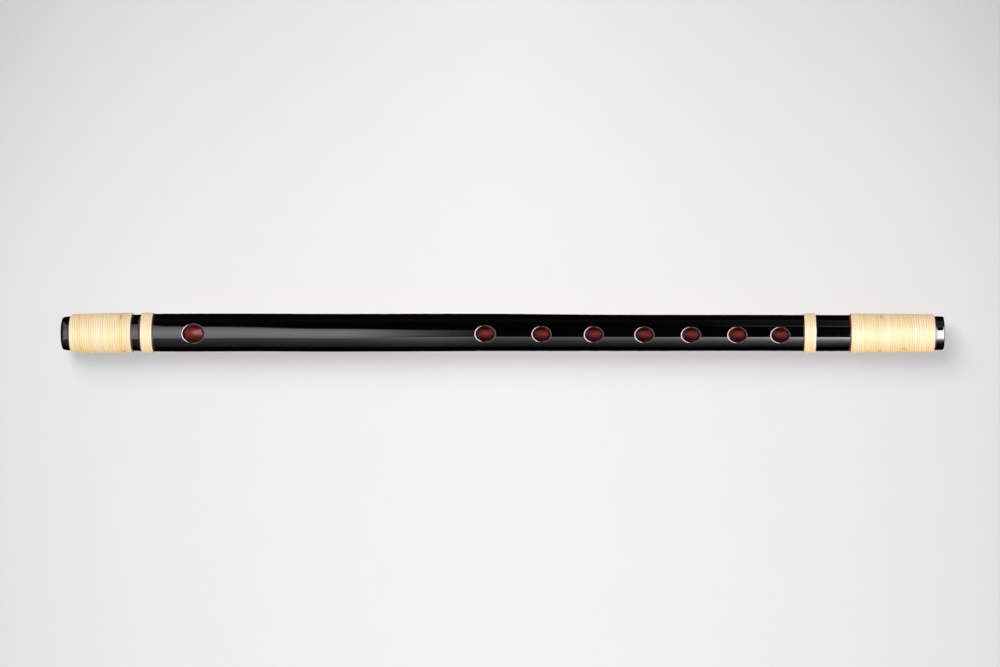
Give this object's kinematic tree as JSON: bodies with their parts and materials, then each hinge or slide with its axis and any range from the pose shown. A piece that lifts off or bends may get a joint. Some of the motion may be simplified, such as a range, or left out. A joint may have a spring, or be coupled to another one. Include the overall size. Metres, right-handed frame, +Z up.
{
  "type": "bamboo flute",
  "caption": "Side-blown bamboo flute: lacquered tapering tube with a red-lacquered bore, oval blowing and finger holes, a plugged head and rattan bindings.",
  "frame": {"origin": "middle of the length, on the surface the flute rests on, straight below the tube's axis", "axes": "+X along the tube from the closed head to the open foot, +Z up through the blowing hole"},
  "size_m": [0.4, 0.0184, 0.0184],
  "materials": {
    "black_lacquer": "deep black gloss lacquer over bamboo",
    "red_lacquer": "gloss cinnabar lacquer",
    "rattan": "satin split rattan",
    "seal_lacquer": "gloss red-brown lacquer bead",
    "cork": "cork",
    "wax": "beeswax under a red lacquer wash",
    "plug_wood": "black-lacquered turned hardwood"
  },
  "bodies": {
    "root": {"bamboo_tube": "black_lacquer", "bore_lining": "red_lacquer", "head_plug": "plug_wood", "cork_stopper": "cork", "wax_reflector": "wax", "head_wrap": "rattan", "head_band": "rattan", "foot_band": "rattan", "foot_wrap": "rattan", "binding_seals": "seal_lacquer"}
  },
  "joints": []
}
